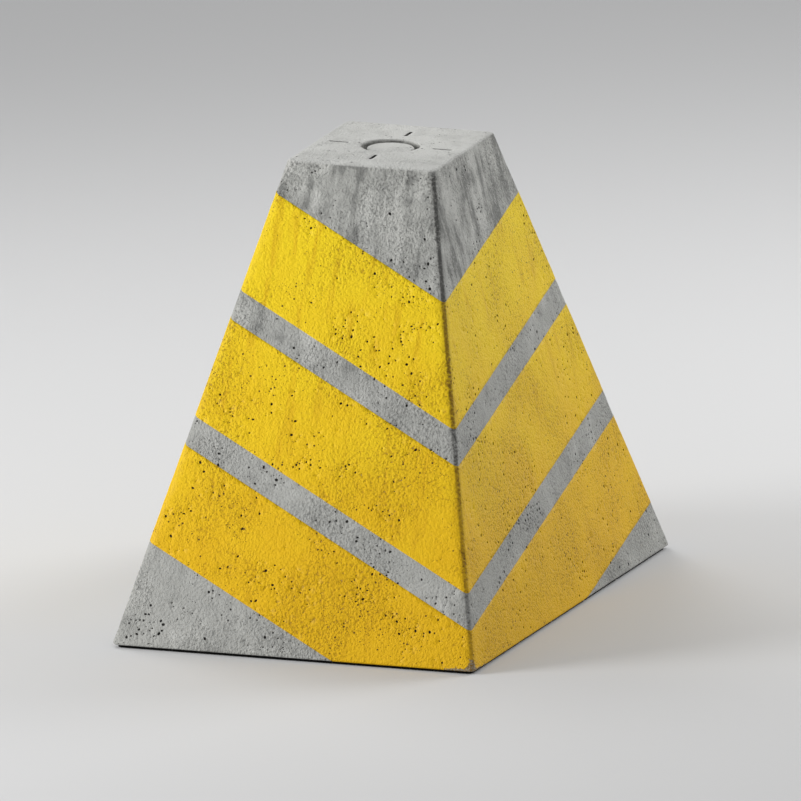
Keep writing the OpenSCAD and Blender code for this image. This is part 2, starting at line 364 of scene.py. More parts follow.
@dataclass(frozen=True)
class ConcreteFinish:
    """Grey fair-faced concrete with stains, streaks, sand grain and air holes.

    Attributes:
        name: The material's name.
        light: The palest tone, also the painted highlight on the lumps.
        middle: The tone between the stains.
        dark: The tone of the stains, also the painted shade in the hollows between lumps.
        hole: The painted shade inside air holes, the recess and the slots.
        edge: The painted shade along the arris.
        float_tone: The pale tone of the face that was floated smooth.
        float_level: The height above which the surface is floated.
        float_blend: The height over which the floated tone sets in.
        cloud_waves: Waves of the stains for each metre.
        speck_waves: Waves of the specks for each metre.
        roughness: The least roughness.
        gloss: The level of the mirror-like share.
        texture: The relief.
    """

    name: str = "concrete"
    light: Point = (0.49, 0.49, 0.462)
    middle: Point = (0.365, 0.366, 0.344)
    dark: Point = (0.20, 0.202, 0.19)
    hole: Point = (0.020, 0.018, 0.016)
    edge: Point = (0.085, 0.084, 0.078)
    float_tone: Point = (0.56, 0.56, 0.535)
    float_level: float = 0.8055
    float_blend: float = 0.003
    cloud_waves: float = 16.0
    speck_waves: float = 420.0
    roughness: float = 0.80
    gloss: float = 0.25
    texture: CastTexture = field(default_factory=CastTexture)

    def material(self) -> bpy.types.Material:
        """Returns the material."""
        graph = Graph(self.name)
        cloud = graph.noise(self.cloud_waves, 5.0, 0.62)
        streaks = self.texture.streaks(graph)
        speck = graph.noise(self.speck_waves, 2.0, 0.7)
        height = graph.node("ShaderNodeSeparateXYZ", None, {0: graph.place}, "Z")
        upper = height.ramp(0.40, 0.72)
        tone = 0.49 + (cloud - 0.5) * (0.42 + 0.48 * upper) + (streaks - 0.5) * (0.12 + 0.66 * upper)
        base = graph.mix(tone.ramp(0.34, 0.48), self.dark, self.middle)
        base = graph.mix(tone.ramp(0.47, 0.64), base, self.light)
        floated = height.ramp(self.float_level, self.float_level + self.float_blend)
        base = graph.mix(floated * (0.78 + 0.2 * cloud.ramp(0.36, 0.56)), base, self.float_tone)
        base = graph.mix(speck.ramp(0.60, 0.78) * 0.4, base, self.light)
        base = graph.mix(speck.ramp(0.40, 0.24) * 0.5, base, self.dark)
        lumps = self.texture.lumps(graph)
        # Painted shade in the hollows between the lumps and painted highlight on the lumps.
        base = graph.mix(lumps.ramp(-0.03, -0.20) * (0.62 - 0.4 * floated), base, self.dark)
        base = graph.mix(lumps.ramp(0.04, 0.21) * 0.40, base, self.light)
        holes = self.texture.small_holes(graph)
        pit, recess_shade, arris = (graph.attribute(name) for name in ("pit", "recess_shade", "arris"))
        # Painted shade along the arris.
        base = graph.mix((arris * (1.0 - 3.0 * lumps)).held() * 0.92, base, self.edge)
        # Painted shade inside the air holes, the recess and the slots.
        base = graph.mix(holes.larger(pit.ramp(0.1, 0.7)).larger(recess_shade) * 0.94, base, self.hole)
        rough = self.roughness + 0.14 * cloud
        normal = graph.bump(self.texture.height(graph, lumps, holes, streaks))
        return graph.finish(Base_Color=base, Roughness=rough, Normal=normal, Specular_IOR_Level=self.gloss)


@dataclass(frozen=True)
class MarkingPaint:
    """Traffic-yellow paint that keeps the relief of the concrete and is deeper near the ground.

    Attributes:
        name: The material's name.
        upper: The tone at the top.
        lower: The tone near the ground.
        deep: The tone of the streaks.
        hole: The painted shade inside air holes.
        edge: The painted shade along the arris, also the dark specks where the paint is worn off.
        hollow_shade: The painted shade in the hollows between lumps.
        bare: The concrete that shows where the paint is worn off.
        cloud_waves: Waves of the stains for each metre.
        speck_waves: Waves of the specks for each metre.
        roughness: The least roughness.
        gloss: The level of the mirror-like share.
        coat: The share of the clear top coat.
        coat_roughness: The top coat's roughness.
        texture: The relief.
    """

    name: str = "yellow_marking"
    upper: Point = (0.84, 0.61, 0.008)
    lower: Point = (0.73, 0.43, 0.001)
    deep: Point = (0.60, 0.335, 0.001)
    hole: Point = (0.075, 0.027, 0.003)
    edge: Point = (0.17, 0.085, 0.004)
    hollow_shade: Point = (0.38, 0.19, 0.002)
    bare: Point = (0.27, 0.265, 0.24)
    cloud_waves: float = 9.0
    speck_waves: float = 320.0
    roughness: float = 0.46
    gloss: float = 0.10
    coat: float = 0.18
    coat_roughness: float = 0.42
    texture: CastTexture = field(default_factory=CastTexture)

    def material(self) -> bpy.types.Material:
        """Returns the material."""
        graph = Graph(self.name)
        cloud = graph.noise(self.cloud_waves, 4.0, 0.6)
        streaks = self.texture.streaks(graph)
        speck = graph.noise(self.speck_waves, 2.0, 0.7)
        height = graph.node("ShaderNodeSeparateXYZ", None, {0: graph.place}, "Z")
        base = graph.mix((height + (cloud - 0.5) * 0.5).ramp(0.02, 0.78), self.lower, self.upper)
        base = graph.mix(streaks.ramp(0.46, 0.30) * 0.5, base, self.deep)
        base = graph.mix(speck.ramp(0.38, 0.22) * 0.4, base, self.deep)
        lumps = self.texture.lumps(graph)
        # Painted shade in the hollows between the lumps.
        base = graph.mix(lumps.ramp(-0.05, -0.22) * 0.58, base, self.hollow_shade)
        holes = self.texture.small_holes(graph)
        pit, arris, worn = (graph.attribute(name) for name in ("pit", "arris", "worn"))
        # Painted shade along the arris.
        base = graph.mix((arris * (1.0 - 3.0 * lumps)).held() * 0.85, base, self.edge)
        bare = graph.mix(speck.ramp(0.36, 0.62), self.edge, self.bare)
        base = graph.mix((worn - 1.6 * lumps).ramp(0.40, 0.75) * 0.9, base, bare)
        # Painted shade inside the air holes.
        base = graph.mix(holes.larger(pit.ramp(0.2, 0.8)) * 0.92, base, self.hole)
        rough = self.roughness + 0.22 * cloud
        normal = graph.bump(self.texture.height(graph, lumps, holes, streaks), 0.95)
        return graph.finish(
            Base_Color=base,
            Roughness=rough,
            Normal=normal,
            Specular_IOR_Level=self.gloss,
            Coat_Weight=self.coat,
            Coat_Roughness=self.coat_roughness,
        )


class Metal(Enum):
    """How a steel piece was left."""

    GALVANISED = "galvanised"
    RUSTED = "rusted"


@dataclass(frozen=True)
class SteelFinish:
    """Galvanised forging, or reinforcing bar with mill scale and rust.

    Attributes:
        name: The material's name.
        kind: How the steel was left.
        zinc: The galvanised skin's darker and paler tone.
        dulled: The tone of its dull patches.
        scale: The mill scale's darker and paler tone.
        rust: The tone of the rust.
        bloom: The tone of the fresh rust.
    """

    name: str
    kind: Metal
    zinc: tuple[Point, Point] = ((0.42, 0.44, 0.46), (0.64, 0.66, 0.68))
    dulled: Point = (0.30, 0.30, 0.29)
    scale: tuple[Point, Point] = ((0.055, 0.05, 0.048), (0.12, 0.085, 0.065))
    rust: Point = (0.27, 0.105, 0.035)
    bloom: Point = (0.42, 0.19, 0.06)

    def material(self) -> bpy.types.Material:
        """Returns the material."""
        graph = Graph(self.name)
        cloud = graph.noise(90.0, 4.0, 0.6)
        speck = graph.noise(700.0, 3.0, 0.7)
        if self.kind is Metal.GALVANISED:
            sockets = {"Vector": graph.place, "Scale": 260.0}
            spangle = graph.node("ShaderNodeTexVoronoi", None, sockets, "Distance")
            base = graph.mix(spangle.ramp(0.1, 0.8), *self.zinc)
            base = graph.mix(cloud.ramp(0.58, 0.75) * 0.5, base, self.dulled)
            rough = 0.34 + 0.3 * cloud
            return graph.finish(
                Base_Color=base, Roughness=rough, Metallic=0.95, Normal=graph.bump(speck * 0.08)
            )
        base = graph.mix(speck.ramp(0.4, 0.65), *self.scale)
        base = graph.mix(cloud.ramp(0.42, 0.62), base, self.rust)
        base = graph.mix((cloud * speck).ramp(0.30, 0.42) * 0.7, base, self.bloom)
        rough = 0.62 + 0.3 * cloud
        bare = 0.75 - 0.7 * cloud.ramp(0.4, 0.6)
        return graph.finish(
            Base_Color=base, Roughness=rough, Metallic=bare, Normal=graph.bump(speck * 0.25 + cloud * 0.3)
        )


@dataclass(frozen=True)
class PlainFinish:
    """Rubber, plastic or mortar: one tone with grain, dust and a fine relief.

    Attributes:
        name: The material's name.
        tone: The clean surface's tone.
        dust: The tone of the dust on it.
        grain: Grains for each metre.
        relief_mm: Height of the grain.
        roughness: The mean roughness.
        gloss: The level of the mirror-like share.
    """

    name: str
    tone: Point
    dust: Point
    grain: float
    relief_mm: float
    roughness: float
    gloss: float = 0.5

    def material(self) -> bpy.types.Material:
        """Returns the material."""
        graph = Graph(self.name)
        cloud = graph.noise(24.0, 4.0, 0.6)
        speck = graph.noise(self.grain, 3.0, 0.65)
        base = graph.mix(cloud.ramp(0.45, 0.75) * 0.6, self.tone, self.dust)
        base = graph.mix(speck.ramp(0.60, 0.80) * 0.5, base, self.dust)
        rough = self.roughness + 0.12 * (cloud - 0.5)
        normal = graph.bump(speck * self.relief_mm + cloud * (2.0 * self.relief_mm))
        return graph.finish(Base_Color=base, Roughness=rough, Normal=normal, Specular_IOR_Level=self.gloss)


@dataclass(frozen=True)
class StudioFinish:
    """Even pale floor.

    Attributes:
        name: The material's name.
        tone: Its tone.
    """

    name: str = "studio_floor"
    tone: Point = (0.60, 0.60, 0.60)

    def material(self) -> bpy.types.Material:
        """Returns the material."""
        graph = Graph(self.name)
        shade = graph.noise(0.6, 2.0)
        rough = 0.78 + 0.1 * shade
        return graph.finish(Base_Color=self.tone, Roughness=rough, Specular_IOR_Level=0.25)


# ---------------------------------------------------------------------------------------------
# Meshes
# ---------------------------------------------------------------------------------------------


@dataclass
class Soup:
    """Points and faces that are gathered before they become one mesh.

    Attributes:
        points: The points.
        faces: The faces, as point numbers.
        pit: The depth of the air hole at each point, in millimetres.
        calm: For each point, 1 where the surface takes no swell.
        recess_shade: For each point, the painted shade on the walls of the recess and the slots, up to 1.
    """

    points: list[Point] = field(default_factory=list)
    faces: list[tuple[int, ...]] = field(default_factory=list)
    pit: list[float] = field(default_factory=list)
    calm: list[float] = field(default_factory=list)
    recess_shade: list[float] = field(default_factory=list)

    def add(
        self,
        points: Iterable[Point],
        pit: Sequence[float] | None = None,
        calm: float = 0.0,
        recess_shade: float = 0.0,
    ) -> list[int]:
        """Adds points.

        Args:
            points: The points.
            pit: The depth of the air hole at each point, in millimetres; 0 if left out.
            calm: 1 where the surface takes no swell.
            recess_shade: The painted shade on the walls of the recess and the slots, up to 1.

        Returns:
            The points' numbers.
        """
        first = len(self.points)
        self.points.extend(points)
        count = len(self.points) - first
        self.pit.extend(pit if pit is not None else [0.0] * count)
        self.calm.extend([calm] * count)
        self.recess_shade.extend([recess_shade] * count)
        return list(range(first, first + count))

    def bridge(self, lower: Sequence[int], upper: Sequence[int], closed: bool = True) -> None:
        """Joins two rows of as many points with four-sided faces.

        Args:
            lower: The first row's point numbers.
            upper: The second row's point numbers.
            closed: Whether each row is a ring.
        """
        count = len(lower)
        for i in range(count if closed else count - 1):
            j = (i + 1) % count
            self.faces.append((lower[i], lower[j], upper[j], upper[i]))


def mesh_object(name: str, points: Any, faces: Any, material: bpy.types.Material) -> bpy.types.Object:
    """Makes a smooth-shaded mesh object.

    Args:
        name: The object's name.
        points: The mesh's points.
        faces: The mesh's faces.
        material: Its material.

    Returns:
        The new object.
    """
    mesh = bpy.data.meshes.new(name)
    mesh.from_pydata([tuple(p) for p in points], [], [tuple(f) for f in faces])
    mesh.materials.append(material)
    mesh.shade_smooth()
    made = bpy.data.objects.new(name, mesh)
    bpy.context.scene.collection.objects.link(made)
    return made


def set_attribute(mesh: bpy.types.Mesh, name: str, values: Any) -> None:
    """Stores a number for each point of a mesh.

    Args:
        mesh: The mesh.
        name: The attribute's name.
        values: One number for each point.
    """
    held = mesh.attributes.get(name) or mesh.attributes.new(name, "FLOAT", "POINT")
    held.data.foreach_set("value", np.asarray(values, np.float32))


def get_attribute(mesh: bpy.types.Mesh, name: str) -> np.ndarray:
    """Returns the numbers that a mesh holds for its points."""
    values = np.zeros(len(mesh.vertices), np.float32)
    mesh.attributes[name].data.foreach_get("value", values)
    return values.astype(float)


def coordinates(mesh: bpy.types.Mesh, kind: str = "co") -> np.ndarray:
    """Returns the points of a mesh, or their normals if kind is normal."""
    source = mesh.vertices if kind == "co" else mesh.vertex_normals
    values = np.zeros(len(mesh.vertices) * 3, np.float32)
    source.foreach_get("co" if kind == "co" else "vector", values)
    return values.reshape(-1, 3).astype(float)


def swell(points: np.ndarray, scale: float, seed: float) -> np.ndarray:
    """Smooth noise between -1 and 1 at each point.

    Args:
        points: The points, in metres.
        scale: Waves for each metre.
        seed: Moves the noise, so that two layers differ.

    Returns:
        One number for each point.
    """
    return np.array([noise.noise(Vector((x * scale + seed, y * scale, z * scale))) for x, y, z in points])


# ---------------------------------------------------------------------------------------------
# The block
# ---------------------------------------------------------------------------------------------


class Side(Enum):
    """The four sloping faces, by the quarter turns from the front one."""

    FRONT = 0
    RIGHT = 1
    BACK = 2
    LEFT = 3

    @property
    def wide(self) -> bool:
        """Whether the face runs along Y."""
        return self in (Side.RIGHT, Side.LEFT)


@dataclass
class BlockShape:
    """The block's tapered outline, with the sizes of the casting.

    Attributes:
        base_w: Width of the base, along X.
        base_d: Length of the base, along Y.
        top_w: Width of the top, along X.
        top_d: Length of the top, along Y.
        set_back: Distance from an arris at which a face stops being flat.
        edge: Radius of the foot's edge.
        brim: Size of the rounding round the top.
        foot: Height of the underside.
        head: Height of the top face.
    """

    base_w: float = 0.670
    base_d: float = 1.060
    top_w: float = 0.272
    top_d: float = 0.326
    set_back: float = 0.0075
    edge: float = 0.005
    brim: float = 0.0032
    foot: float = field(init=False)
    head: float = field(init=False)

    def __post_init__(self) -> None:
        """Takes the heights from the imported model."""
        low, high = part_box("concrete_body")
        self.foot, self.head = low.z, high.z

    def halves(self, z: Any) -> tuple[Any, Any]:
        """Returns half the outline's width and half its length at one height, or at an array of them."""
        share = (z - self.foot) / (self.head - self.foot)
        half_x = (self.base_w + (self.top_w - self.base_w) * share) / 2
        half_y = (self.base_d + (self.top_d - self.base_d) * share) / 2
        return half_x, half_y

    def half(self, side: Side, z: float, across: bool) -> float:
        """Half the outline's size at a height.

        Args:
            side: The face that it is asked for.
            z: The height.
            across: True for the face's own half length, False for its distance from the middle.

        Returns:
            The half size.
        """
        half_x, half_y = self.halves(z)
        return half_y if side.wide == across else half_x

    def slant(self, side: Side) -> float:
        """Returns the length along a face for each unit of height."""
        rise = self.head - self.foot
        run = self.half(side, self.foot, False) - self.half(side, self.head, False)
        return math.hypot(rise, run) / rise

    def at(self, side: Side, s: float, z: float, inset: float = 0.0) -> Point:
        """A point on a face.

        Args:
            side: The face.
            s: The distance from the face's middle line, to the right as seen from outside.
            z: The height.
            inset: The level distance inside the face.

        Returns:
            The point.
        """
        out = self.half(side, z, False) - inset
        x, y = {0: (s, -out), 1: (out, s), 2: (-s, out), 3: (-out, -s)}[side.value]
        return (x, y, z)

    def flat(self, side: Side, z: float, inset: float = 0.0) -> float:
        """Returns how far the flat part of a face reaches from its middle line."""
        return self.half(side, z, True) - inset - self.set_back

    def arris(self, side: Side, z: float, inset: float = 0.0, steps: int = 3) -> list[Point]:
        """Points round the arris at the right end of a face.

        Args:
            side: The face.
            z: The height.
            inset: The level distance inside the faces.
            steps: The number of points between the two flat faces.

        Returns:
            The points, without the flat faces' own ends.
        """
        other = Side((side.value + 1) % 4)
        first = Vector(self.at(side, self.flat(side, z, inset), z, inset))
        last = Vector(self.at(other, -self.flat(other, z, inset), z, inset))
        corner = Vector(self.at(side, self.half(side, z, True) - inset, z, inset))
        handle = ((first + last) / 2).lerp(corner, 0.55)
        found = []
        for i in range(1, steps + 1):
            t = i / (steps + 1)
            found.append(tuple(first * (1 - t) ** 2 + handle * (2 * t * (1 - t)) + last * t**2))
        return found

    def ring(self, z: float, inset: float, shares: Mapping[Side, Sequence[float]]) -> list[Point]:
        """A level ring round the block.

        Args:
            z: The height.
            inset: The level distance inside the faces.
            shares: For each face, where its points lie, from -1 to 1 of its flat part.

        Returns:
            The ring's points, anticlockwise from above.
        """
        found: list[Point] = []
        for side in Side:
            reach = self.flat(side, z, inset)
            found.extend(self.at(side, share * reach, z, inset) for share in shares[side])
            found.extend(self.arris(side, z, inset))
        return found


@dataclass
class AirHoles:
    """Air holes of one flat face, in the face's own coordinates.

    Attributes:
        per_square_metre: How many there are.
        seed: Seeds their places and sizes.
        smallest: The smallest radius.
        largest: The largest radius.
        scarcity: How much rarer the large ones are.
        grouped: The share that lie close to another one.
        group: How far they lie from that one, across and up.
        crowd_waves: Waves of the crowding for each metre.
        spacing: The least distance between two holes, as a share of their radii.
        tries: How often a place is tried for each wanted hole.
        section: Radius and depth of a hole's rings, as shares.
        fine_from: The radius above which a hole gets every ring.
        holes: Place and radius of each hole.
    """

    per_square_metre: float
    seed: int
    smallest: float = 0.9 * MM
    largest: float = 2.9 * MM
    scarcity: float = 2.6
    grouped: float = 0.42
    group: tuple[float, float] = (0.011, 0.009)
    crowd_waves: float = 5.0
    spacing: float = 1.45
    tries: int = 40
    section: tuple[tuple[float, float], ...] = ((1.28, 0.0), (1.0, 0.06), (0.84, 0.62), (0.5, 0.92))
    fine_from: float = 1.75 * MM
    holes: list[tuple[float, float, float]] = field(default_factory=list)

    def scatter(self, inside: Callable[[float, float, float], bool], size: tuple[float, float]) -> None:
        """Places the holes, in loose groups.

        Args:
            inside: Says whether a hole of some radius fits at a place.
            size: The width and height of the face's box.
        """
        draw = np.random.default_rng(self.seed)
        wanted = int(self.per_square_metre * size[0] * size[1])
        tries = 0
        while len(self.holes) < wanted and tries < self.tries * wanted:
            tries += 1
            s = draw.uniform(-size[0] / 2, size[0] / 2)
            u = draw.uniform(0, size[1])
            if self.holes and draw.random() < self.grouped:
                near = self.holes[draw.integers(len(self.holes))]
                s, u = near[0] + draw.normal(0, self.group[0]), near[1] + draw.normal(0, self.group[1])
            crowd = noise.noise(Vector((s * self.crowd_waves + self.seed, u * self.crowd_waves, 3.1)))
            if draw.random() > 0.55 + 1.1 * crowd:
                continue
            radius = self.smallest + (self.largest - self.smallest) * draw.random() ** self.scarcity
            if not inside(s, u, 1.6 * radius + 2 * MM):
                continue
            if any(math.hypot(s - a, u - b) < self.spacing * (radius + r) for a, b, r in self.holes):
                continue
            self.holes.append((s, u, radius))

    def rings(self) -> tuple[list[tuple[float, float]], list[float]]:
        """Points that give each hole its shape.

        Returns:
            The points in the face's coordinates, and the depth at each in millimetres.
        """
        draw = np.random.default_rng(self.seed + 1)
        points: list[tuple[float, float]] = []
        depths: list[float] = []
        for s, u, radius in self.holes:
            count = 7 + int(radius / MM)
            phase, lean = draw.uniform(0, math.tau), draw.uniform(0, math.tau)
            wave = draw.uniform(0.05, 0.22)
            depth = radius / MM * draw.uniform(0.75, 1.25)
            for share, deep in self.section if radius > self.fine_from else self.section[::2]:
                for i in range(count):
                    angle = phase + math.tau * (i + 0.5 * share) / count
                    reach = radius * share * (1 + wave * math.cos(2 * (angle - lean)))
                    points.append((s + reach * math.cos(angle), u + reach * math.sin(angle)))
                    depths.append(deep * depth)
            points.append((s, u))
            depths.append(depth)
        return points, depths


def filled(
    border: Sequence[Sequence[tuple[float, float]]],
    pitch: float,
    holes: AirHoles,
    clear: Callable[[np.ndarray], np.ndarray],
    seed: int,
) -> tuple[np.ndarray, list[tuple[int, ...]], list[float]]:
    """Fills a flat region with triangles, finer round its air holes.

    Args:
        border: The region's closed outlines; the first is the outer one.
        pitch: The distance between its inner points.
        holes: The air holes in it.
        clear: Says for an array of places which lie well inside the region.
        seed: Seeds the inner points' scatter.

    Returns:
        The points, the triangles and the depth at each point; the border's points come first.
    """
    loops = [p for loop in border for p in loop]
    edges, first = [], 0
    for loop in border:
        edges.extend((first + i, first + (i + 1) % len(loop)) for i in range(len(loop)))
        first += len(loop)
    low, high = np.min(loops, 0), np.max(loops, 0)
    draw = np.random.default_rng(seed)
    rows = np.arange(low[1], high[1], pitch * 0.866)
    columns = np.arange(low[0], high[0], pitch)
    grid = np.array([(x + (0.5 * pitch if j % 2 else 0.0), y) for j, y in enumerate(rows) for x in columns])
    grid += draw.uniform(-0.16 * pitch, 0.16 * pitch, grid.shape)
    grid = grid[clear(grid)]
    widest = holes.section[0][0]
    for s, u, radius in holes.holes:
        grid = grid[np.hypot(grid[:, 0] - s, grid[:, 1] - u) > widest * radius + 0.25 * pitch]
    ring_points, ring_depths = holes.rings()
    every = [Vector(p) for p in loops] + [Vector(p) for p in grid] + [Vector(p) for p in ring_points]
    depth_in = [0.0] * (len(loops) + len(grid)) + ring_depths
    points, _, faces, origin, _, _ = delaunay_2d_cdt(every, edges, [], 1, 1e-7)
    depths = [max((depth_in[i] for i in found), default=0.0) for found in origin]
    return np.array([tuple(p) for p in points]), [tuple(f) for f in faces], depths


@dataclass
class Recess:
    """The round recess in the top with its ledge, socket and bowl, and the four radial slots.

    Attributes:
        radius: Radius of the recess.
        ledge: Depth of the ledge that the plug rests on.
        socket: Radius of the socket and of the bowl under it.
        socket_depth: Depth of the socket's straight part.
        rim: Width of the rounding round the recess.
        slot_start: Distance of a slot's inner end from the middle.
        slot_end: Distance of a slot's outer end from the middle.
        slot_half: Half a slot's width.
        slot_depth: Depth of a slot.
        draft: How much narrower a slot is at its bottom, and how wide its rounded lip is.
        break_edge: Size of the chamfer on the ledge's corners.
        around: Points in a circle.
    """

    radius: float = 0.052
    ledge: float = 0.022
    socket: float = 0.037
    socket_depth: float = 0.020
    rim: float = 0.0016
    slot_start: float = 0.077
    slot_end: float = 0.113
    slot_half: float = 0.003
    slot_depth: float = 0.010
    draft: float = 0.0004
    break_edge: float = 0.0006
    around: int = 96

    def circle(self, radius: float, z: float) -> list[Point]:
        """Returns a level ring of points about the middle."""
        turn = [math.tau * i / self.around for i in range(self.around)]
        return [(radius * math.cos(a), radius * math.sin(a), z) for a in turn]

    def slot(self, number: int, grow: float, z: float) -> list[Point]:
        """Outline of one slot.

        Args:
            number: The slot's number, in quarter turns.
            grow: How far the outline lies outside the slot's walls.
            z: The height.

        Returns:
            The outline's points.
        """
        radius = self.slot_half + grow
        inner, outer = self.slot_start + self.slot_half, self.slot_end - self.slot_half
        straight, turn = np.linspace(inner, outer, 9)[1:-1], np.linspace(-1.57, 1.57, 9)
        flat = [(x, -radius) for x in straight]
        flat += [(outer + radius * math.cos(a), radius * math.sin(a)) for a in turn]
        flat += [(x, radius) for x in reversed(straight)]
        flat += [(inner - radius * math.cos(a), radius * math.sin(a)) for a in reversed(turn)]
        c, s = ((1, 0), (0, 1), (-1, 0), (0, -1))[number]
        return [(c * x - s * y, s * x + c * y, z) for x, y in flat]

    def build(self, soup: Soup, top: float) -> list[list[tuple[float, float]]]:
        """Adds the walls below the top face.

        Args:
            soup: What the walls are added to.
            top: The height of the top face.

        Returns:
            The outlines that the top face leaves free.
        """
        ledge = top - self.ledge
        bowl = ledge - self.socket_depth
        profile = [(self.radius + self.rim, top), (self.radius + 0.35 * self.rim, top - 0.3 * self.rim)]
        corner = self.break_edge
        profile += [(self.radius, top - d) for d in (self.rim, 0.006, 0.011, 0.016, self.ledge - corner)]
        profile += [(self.radius - corner, ledge), (self.socket + corner, ledge)]
        profile += [(self.socket, ledge - corner)]
        profile += [(self.socket, z) for z in np.linspace(ledge - 0.004, bowl, 5)]
        turn = [math.radians(a) for a in (15, 30, 45, 60, 75, 86)]
        profile += [(self.socket * math.cos(a), bowl - self.socket * math.sin(a)) for a in turn]
        rows = []
        for radius, z in profile:
            # Painted shade that deepens down the recess walls.
            recess_shade = 0.3 * min(max((top - z - 0.0015) / 0.004, 0.0), 1.0)
            rows.append(soup.add(self.circle(radius, z), calm=0.75, recess_shade=recess_shade))
        for upper, lower in zip(rows, rows[1:]):
            soup.bridge(lower, upper)
        soup.faces.append(tuple(rows[-1]))
        free = [[p[:2] for p in self.circle(*profile[0])]]
        lip = self.draft
        steps = ((lip, 0.0), (0.0, lip), (0.0, 0.0015), (0.0, 0.006), (-lip, self.slot_depth))
        for number in range(4):
            walls = []
            for grow, deep in steps:
                # Painted shade that deepens down the slot walls.
                recess_shade = min(deep / 0.0015, 1.0)
                walls.append(soup.add(self.slot(number, grow, top - deep), calm=1.0, recess_shade=recess_shade))
            for upper, lower in zip(walls, walls[1:]):
                soup.bridge(lower, upper)
            soup.faces.append(tuple(walls[-1]))
            free.append([p[:2] for p in self.slot(number, steps[0][0], top)])
        return free


@dataclass
class Marking:
    """The three inclined bands, between parallel planes.

    Attributes:
        top: Height at which the upper band ends, on the centre line.
        height: Height of a band, on the centre line.
        gap: Bare concrete between two bands, on the centre line.
        fall: Fall for each unit of width.
        rise: Rise for each unit of length.
        film: Thickness of the paint.
        hem: Where the paint ends on the foot's round edge, as a share of its radius.
        nodes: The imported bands, from the top.
        carried: The casting's numbers that the paint takes over.
        bridged: The deepest hole in millimetres that the paint still spans.
    """

    top: float = 0.726
    height: float = 0.165
    gap: float = 0.048
    fall: float = 0.43
    rise: float = 0.185
    film: float = 0.4 * MM
    hem: float = 0.12
    nodes: tuple[str, ...] = ("upper_band", "middle_band", "lower_band")
    carried: tuple[str, ...] = ("pit", "arris", "worn", "across", "down")
    bridged: float = 0.55

    def level(self, points: np.ndarray) -> np.ndarray:
        """Returns, for each point, the height at which its plane cuts the centre line."""
        return points[:, 2] + self.fall * points[:, 0] - self.rise * points[:, 1]

    def span(self, number: int) -> tuple[float, float]:
        """Returns the lower and upper level of a band, counted from the top."""
        upper = self.top - number * (self.height + self.gap)
        return upper - self.height, upper

    def cut(self, held: bmesh.types.BMesh) -> None:
        """Cuts a mesh along every edge of the bands, so that no face lies across one."""
        normal = Vector((self.fall, -self.rise, 1.0))
        for number in range(len(self.nodes)):
            for level in self.span(number):
                everything = held.verts[:] + held.edges[:] + held.faces[:]
                bmesh.ops.bisect_plane(
                    held, geom=everything, dist=1e-6, plane_co=(0, 0, level), plane_no=normal
                )

    def build(self, casting: bpy.types.Object, shape: BlockShape, paint: bpy.types.Material) -> None:
        """Lays the three films on the casting.

        Args:
            casting: The finished casting.
            shape: The block's outline.
            paint: The films' material.
        """
        mesh = casting.data
        points, normals = coordinates(mesh), coordinates(mesh, "normal")
        carried = {name: get_attribute(mesh, name) for name in self.carried}
        pit, rest = carried["pit"], get_attribute(mesh, "level")
        height = get_attribute(mesh, "height")
        faces = [tuple(p.vertices) for p in mesh.polygons]
        middle = np.array([rest[list(f)].mean() for f in faces])
        lowest = np.array([height[list(f)].min() for f in faces])
        highest = np.array([height[list(f)].max() for f in faces])
        deepest = np.array([pit[list(f)].min() for f in faces])
        skin = (lowest > shape.foot + self.hem * shape.edge) & (highest < shape.head - shape.brim + 1e-5)
        for number, node in enumerate(self.nodes):
            low, high = self.span(number)
            kept = np.flatnonzero(skin & (middle > low) & (middle < high) & (deepest < self.bridged))
            self.film_object(node, [faces[i] for i in kept], points, normals, carried, paint)

    def film_object(
        self,
        node: str,
        faces: Sequence[tuple[int, ...]],
        points: np.ndarray,
        normals: np.ndarray,
        carried: Mapping[str, np.ndarray],
        paint: bpy.types.Material,
    ) -> None:
        """Makes one closed film.

        Args:
            node: The band's name.
            faces: The casting's faces under it.
            points: The casting's points.
            normals: The casting's normals.
            carried: The casting's numbers that the film takes over, by name.
            paint: The film's material.
        """
        used = sorted({v for f in faces for v in f})
        number = {v: i for i, v in enumerate(used)}
        count = len(used)
        outer = points[used] + normals[used] * self.film
        inner = points[used] - normals[used] * (0.5 * self.film)
        front = [tuple(number[v] for v in f) for f in faces]
        sides: dict[tuple[int, int], int] = {}
        for f in front:
            for a, b in zip(f, f[1:] + f[:1]):
                sides[(a, b)] = sides.get((a, b), 0) + 1
        walls = [(b, a, a + count, b + count) for a, b in sides if (b, a) not in sides]
        back = [tuple(v + count for v in reversed(f)) for f in front]
        made = mesh_object(f"{node}_film", np.vstack([outer, inner]), front + back + walls, paint)
        for name, values in carried.items():
            set_attribute(made.data, name, np.concatenate([values[used], values[used]]))
        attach(made, "block")
        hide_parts(node)
        LOG.info("%s: %d faces", made.name, len(made.data.polygons))


